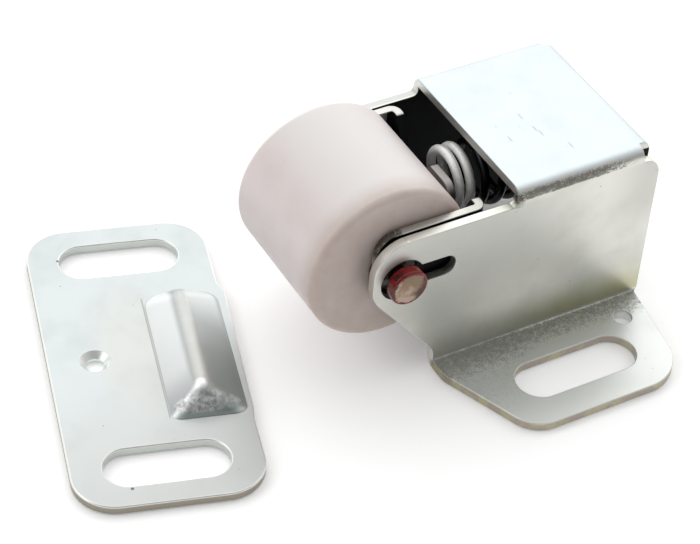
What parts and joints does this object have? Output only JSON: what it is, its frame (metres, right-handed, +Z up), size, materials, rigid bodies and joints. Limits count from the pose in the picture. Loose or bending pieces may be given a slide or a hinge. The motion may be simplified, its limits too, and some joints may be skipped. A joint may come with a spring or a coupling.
{
  "type": "roller catch",
  "caption": "Sprung roller catch for a cupboard door: a folded steel housing with slotted flanges, a plastic roller on a sliding carrier, and a strike plate with a pressed ridge.",
  "frame": {"origin": "under the middle of the whole set, on the plane that the flanges and the strike plate lie on", "axes": "+X runs from the strike plate and the roller back to the housing's rear, +Y runs along the roller's axle, +Z points up, away from the mounting face"},
  "size_m": [0.0924, 0.0662, 0.0322],
  "materials": {
    "zinc_plated_steel": "bright zinc plate over plain sheet, lightly stained",
    "spring_wire": "plated drawn wire",
    "white_nylon": "off-white moulded nylon, satin",
    "red_marked_steel": "turned steel with worn red marking paint"
  },
  "bodies": {
    "catch_body": {"housing": "zinc_plated_steel", "compression_spring": "spring_wire", "strike_plate": "zinc_plated_steel"},
    "carriage": {"roller_carrier": "zinc_plated_steel", "axle": "red_marked_steel"},
    "roller_wheel": {"roller": "white_nylon"}
  },
  "joints": [
    {"name": "carriage_slide", "type": "slide", "parent": "catch_body", "child": "carriage", "axis": [1, 0, 0], "range_m": [0, 0.006], "stiffness_N_per_m": 1500, "springref_m": -0.004, "deforming": ["compression_spring"]},
    {"name": "roller_spin", "type": "hinge", "parent": "carriage", "child": "roller_wheel", "pos_m": [0.00386, -0.00037, 0.0196], "axis": [0, 1, 0], "continuous": true}
  ]
}
